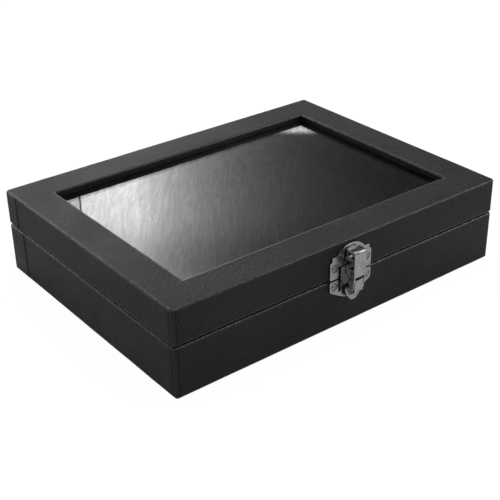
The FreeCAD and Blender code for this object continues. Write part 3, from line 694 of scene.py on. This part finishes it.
def swollen(piece):
    """Fills the pad as foam does: even pressure inside the velvet, with the underside held on its card."""
    remesh = piece.modifiers.new("even_faces", "REMESH")
    remesh.mode = "VOXEL"
    remesh.voxel_size = PAD_VOXEL
    bpy.context.view_layer.objects.active = piece
    bpy.ops.object.modifier_apply(modifier="even_faces")
    held = piece.vertex_groups.new(name="held")
    start = [v.co.copy() for v in piece.data.vertices]
    held.add([v.index for v in piece.data.vertices if v.co.z < PAD_BOTTOM + 2.5 * MM], 1.0, "REPLACE")
    stuffing = piece.modifiers.new("stuffing", "CLOTH")
    settings = stuffing.settings
    settings.use_pressure = True
    settings.uniform_pressure_force = 4
    settings.effector_weights.gravity = 0
    settings.vertex_group_mass = "held"
    settings.quality = 5
    stuffing.point_cache.frame_end = 20
    for step in range(1, 21):
        bpy.context.scene.frame_set(step)
    bpy.ops.object.modifier_apply(modifier="stuffing")
    bpy.context.scene.frame_set(1)
    for vertex, before in zip(piece.data.vertices, start):
        move = vertex.co - before
        if move.length > PAD_SWELL:
            vertex.co = before + move.normalized() * PAD_SWELL
    piece.vertex_groups.clear()


pad = new_piece("pin_pad", pad_form)
swollen(pad)
for vertex in pad.data.vertices:
    limited = vertex.co
    limited.x = max(-PAD_X, min(PAD_X, limited.x))
    limited.y = max(-PAD_Y, min(PAD_Y, limited.y))
    limited.z = max(PAD_BOTTOM, min(PAD_CROWN_TOP, limited.z))
pad.data.shade_smooth()
softer = pad.modifiers.new("softer", "SUBSURF")
softer.levels = softer.render_levels = 1
pad.data.materials.append(velvet_coat)
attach(pad, "base")
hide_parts("pin_pad_cover", "pin_pad_foam")

card_coat, tree, shader = coating("grey_card", {"Roughness": 0.9, "Specular IOR Level": 0.25})
pulp = placed(tree, fibres, {"Scale": 700.0})
blend_colours(tree, pulp, "Tone", (0.24, 0.23, 0.21, 1), (0.36, 0.35, 0.33, 1), shader)
raised(tree, pulp, "Height", shader, 0.3, 0.0002)
recoat("pin_pad_board", card_coat)


# The pane: clear float glass with cut edges, held up against the frame. It was wiped in one direction, which
# left faint streaks.
WIPED_ALONG = math.radians(52)
WIPED_LENGTH = 10.0
pane_sockets = {"Base Color": (0.985, 0.985, 0.985, 1), "Transmission Weight": 1.0, "IOR": 1.5, "Coat Roughness": 0.02}
pane_coat, tree, shader = coating("clear_glass", pane_sockets)
place = add(tree, "TexCoord")
wiped_sockets = {"Scale": (WIPED_LENGTH, 1.0, 1.0), "Rotation": (0, 0, WIPED_ALONG)}
wiped = add(tree, "Mapping", wiped_sockets, vector_type="TEXTURE")
join(tree, place, "Object", wiped, "Vector")
streaks = add(tree, "TexNoise", {"Scale": 800.0, "Detail": 3.0, "Roughness": 0.7})
join(tree, wiped, "Vector", streaks, "Vector")
streak_range = ramp(tree, 0.0, 0.02, 0.45, 0.75)
join(tree, streaks, "Fac", streak_range, "Value")
join(tree, streak_range, "Result", shader, "Roughness")
film = ramp(tree, 0.0, 0.5, 0.4, 0.64)
join(tree, streaks, "Fac", film, "Value")
join(tree, film, "Result", shader, "Coat Weight")
recoat("glass_pane", pane_coat)


# Hinges and latch: stamped steel sheet, nickel plated. The stamped parts have soft edges.
METAL_DIM = (0.24, 0.236, 0.232, 1)
METAL_BRIGHT = (0.33, 0.326, 0.322, 1)
# Near-black that the occlusion mask mixes into the nickel's colour: painted shade, not a colour of the metal.
METAL_PAINTED_SHADE = (0.01, 0.01, 0.01, 1)
STAMPED = [
    "hinge_left_base_leaf", "hinge_right_base_leaf", "hinge_left_lid_leaf", "hinge_right_lid_leaf",
    "latch_upper_plate", "latch_lower_plate", "latch_lever", "latch_link",
]
PINS = ["hinge_left_pin", "hinge_right_pin", "latch_lever_pin", "latch_link_pin"]
STAMPED_EDGE = 0.2 * MM

rubbed, entry, leaving = pattern("plated_metal", {"Scale": 260.0}, ["Tone", "Rough", "Height"])
place = add(rubbed, "TexCoord")
hazy = add(rubbed, "TexNoise", {"Detail": 5.0, "Roughness": 0.6})
join(rubbed, place, "Object", hazy, "Vector")
join(rubbed, entry, "Scale", hazy, "Scale")
hazy_range = ramp(rubbed, 0.0, 1.0, 0.3, 0.7)
join(rubbed, hazy, "Fac", hazy_range, "Value")
join(rubbed, hazy_range, "Result", leaving, "Tone")
hazy_rough = ramp(rubbed, 0.16, 0.34, 0.3, 0.7)
join(rubbed, hazy, "Fac", hazy_rough, "Value")
join(rubbed, hazy_rough, "Result", leaving, "Rough")
scuffs = add(rubbed, "TexNoise", {"Scale": 1900.0, "Detail": 3.0})
scuff_run = add(rubbed, "Mapping", {"Scale": (1.0, 1.0, 0.06), "Rotation": (0, math.radians(24), 0)})
join(rubbed, place, "Object", scuff_run, "Vector")
join(rubbed, scuff_run, "Vector", scuffs, "Vector")
join(rubbed, scuffs, "Fac", leaving, "Height")

metal_coat, tree, shader = coating("nickel_plate", {"Metallic": 1.0})
plating = placed(tree, rubbed)
colour = blend_colours(tree, plating, "Tone", METAL_DIM, METAL_BRIGHT, shader)
# Painted shade: ambient occlusion darkens the colour to near-black in the hollows and the gaps between the sheets.
sheltered = add(tree, "AmbientOcclusion", {"Distance": 1.1 * MM}, samples=8)
painted_shade_range = ramp(tree, 1.0, 0.0, 0.12, 0.55)
join(tree, sheltered, "AO", painted_shade_range, "Value")
painted_shade_mix = add(tree, "Mix", data_type="RGBA")
painted_shade_mix.inputs["B"].default_value = METAL_PAINTED_SHADE
tree.links.new(painted_shade_range.outputs["Result"], painted_shade_mix.inputs[0])
tree.links.new(colour.outputs[2], painted_shade_mix.inputs["A"])
tree.links.new(painted_shade_mix.outputs[2], shader.inputs["Base Color"])
join(tree, plating, "Rough", shader, "Roughness")
raised(tree, plating, "Height", shader, 0.12, 0.0001)

for part in STAMPED + PINS:
    recoat(part, metal_coat)
    piece = nodes[part]
    weld = piece.modifiers.new("whole_skin", "WELD")
    weld.merge_threshold = 0.002 * MM
    flat = piece.modifiers.new("plain_faces", "DECIMATE")
    flat.decimate_type = "DISSOLVE"
    flat.angle_limit = math.radians(1)
    soft_edge = piece.modifiers.new("soft_edges", "BEVEL")
    soft_edge.width = STAMPED_EDGE
    soft_edge.segments = 2
    soft_edge.limit_method = "ANGLE"
    soft_edge.angle_limit = math.radians(40)


# The screws: small round-headed cross screws, nickel plated, two in each latch plate and in each hinge leaf.
HEAD_R, HEAD_H = 1.6 * MM, 0.8 * MM
SHANK_R, SHANK_L = 0.8 * MM, 4.7 * MM
CROSS_HALF, CROSS_REACH, CROSS_DEEP = 0.3 * MM, 1.05 * MM, 0.7 * MM
HEAD_RINGS, HEAD_SPOKES = 12, 48


def head_height(radius, turn):
    """A low dome with a cross sunk in it, whose slots grow shallow towards their ends."""
    dome = HEAD_H * (0.35 + 0.65 * math.sqrt(max(0.0, 1 - (radius / HEAD_R) ** 2)))
    u, v = abs(radius * math.cos(turn)), abs(radius * math.sin(turn))
    beside, along_slot = min(u, v), max(u, v)
    inside = step_up(CROSS_HALF - beside, 0.07 * MM) * step_up(CROSS_REACH - along_slot, 0.12 * MM)
    return dome - CROSS_DEEP * inside * (1 - 0.4 * along_slot / CROSS_REACH)


def screw_at(shape, seat, out, spin):
    """One screw with its head on the seat, turned about its own line."""
    side = out.cross(Vector((0, 0, 1))).normalized()
    up = side.cross(out)

    def ring(radius, level, dished=False):
        made = []
        for k in range(HEAD_SPOKES):
            turn = 2 * math.pi * k / HEAD_SPOKES
            rise = head_height(radius, turn) if dished else level
            flat_turn = turn + spin
            made.append(shape.verts.new(
                seat + out * rise + (side * math.cos(flat_turn) + up * math.sin(flat_turn)) * radius))
        return made

    rings = [ring(HEAD_R * (i + 1) / HEAD_RINGS, 0, True) for i in range(HEAD_RINGS)]
    rings.append(ring(HEAD_R, 0))
    rings.append(ring(SHANK_R, 0))
    rings.append(ring(SHANK_R, -SHANK_L + 0.8 * MM))
    rings.append(ring(SHANK_R * 0.2, -SHANK_L))
    for inner, outer in zip(rings, rings[1:]):
        for k in range(HEAD_SPOKES):
            after = (k + 1) % HEAD_SPOKES
            shape.faces.new((inner[k], inner[after], outer[after], outer[k]))
    middle = shape.verts.new(seat + out * head_height(0, 0))
    for k in range(HEAD_SPOKES):
        shape.faces.new((middle, rings[0][(k + 1) % HEAD_SPOKES], rings[0][k]))
    shape.faces.new(rings[-1])


def screw_set(name, node, out, seats):
    def make(shape):
        for i, seat in enumerate(seats):
            screw_at(shape, Vector(seat) * MM, Vector(out), 0.5 + 1.3 * i)

    piece = new_piece(name, make)
    piece.data.shade_smooth()
    piece.modifiers.new("even_shading", "WEIGHTED_NORMAL")
    piece.data.materials.append(metal_coat)
    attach(piece, "lid" if "lid" in name or "upper" in name else "base")
    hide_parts(node)


screw_set("upper_plate_screws", "latch_upper_screws", (0, -1, 0), [(-10, -75.45, 33.2), (10, -75.45, 33.2)])
screw_set("lower_plate_screws", "latch_lower_screws", (0, -1, 0), [(-10, -75.45, 23.6), (10, -75.45, 23.6)])
hinge_screw_x = [centre + side for centre in (-55, 55) for side in (-5.5, 5.5)]
screw_set("base_hinge_screws", "hinge_base_screws", (0, 1, 0), [(x, 75.8, 19) for x in hinge_screw_x])
screw_set("lid_hinge_screws", "hinge_lid_screws", (0, 1, 0), [(x, 75.8, 35) for x in hinge_screw_x])
